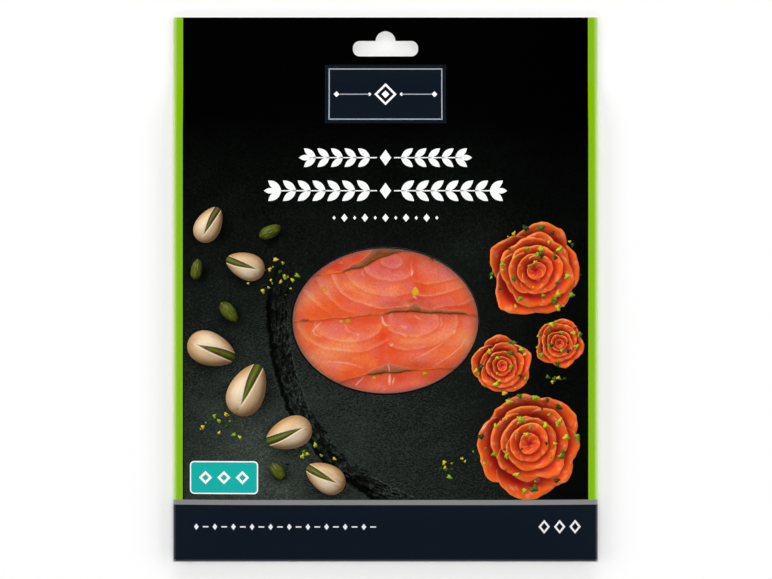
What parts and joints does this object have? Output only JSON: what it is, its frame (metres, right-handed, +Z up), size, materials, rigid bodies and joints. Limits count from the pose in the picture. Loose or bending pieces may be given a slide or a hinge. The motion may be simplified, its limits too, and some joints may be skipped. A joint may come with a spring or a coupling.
{
  "type": "pack of smoked salmon",
  "caption": "Flat retail pack of sliced smoked salmon: a printed board sleeve with an oval window and a hanging slot, a clear skin film and overlapping salmon slices.",
  "frame": {"origin": "centre of the back panel, on the plane the pack lies on", "axes": "+Z up out of the printed front, +Y along the pack towards the hanging slot, +X to the right seen from the front"},
  "size_m": [0.17, 0.218, 0.0088],
  "materials": {
    "printed_board": "satin printed carton board, near black to slate",
    "clear_film": "clear glossy vacuum film",
    "salmon": "moist smoked salmon, coral orange with pale fat lines and a brown edge"
  },
  "bodies": {
    "root": {"sleeve": "printed_board", "skin_film": "clear_film", "slice_1": "salmon", "slice_2": "salmon", "slice_3": "salmon", "slice_4": "salmon"}
  },
  "joints": []
}
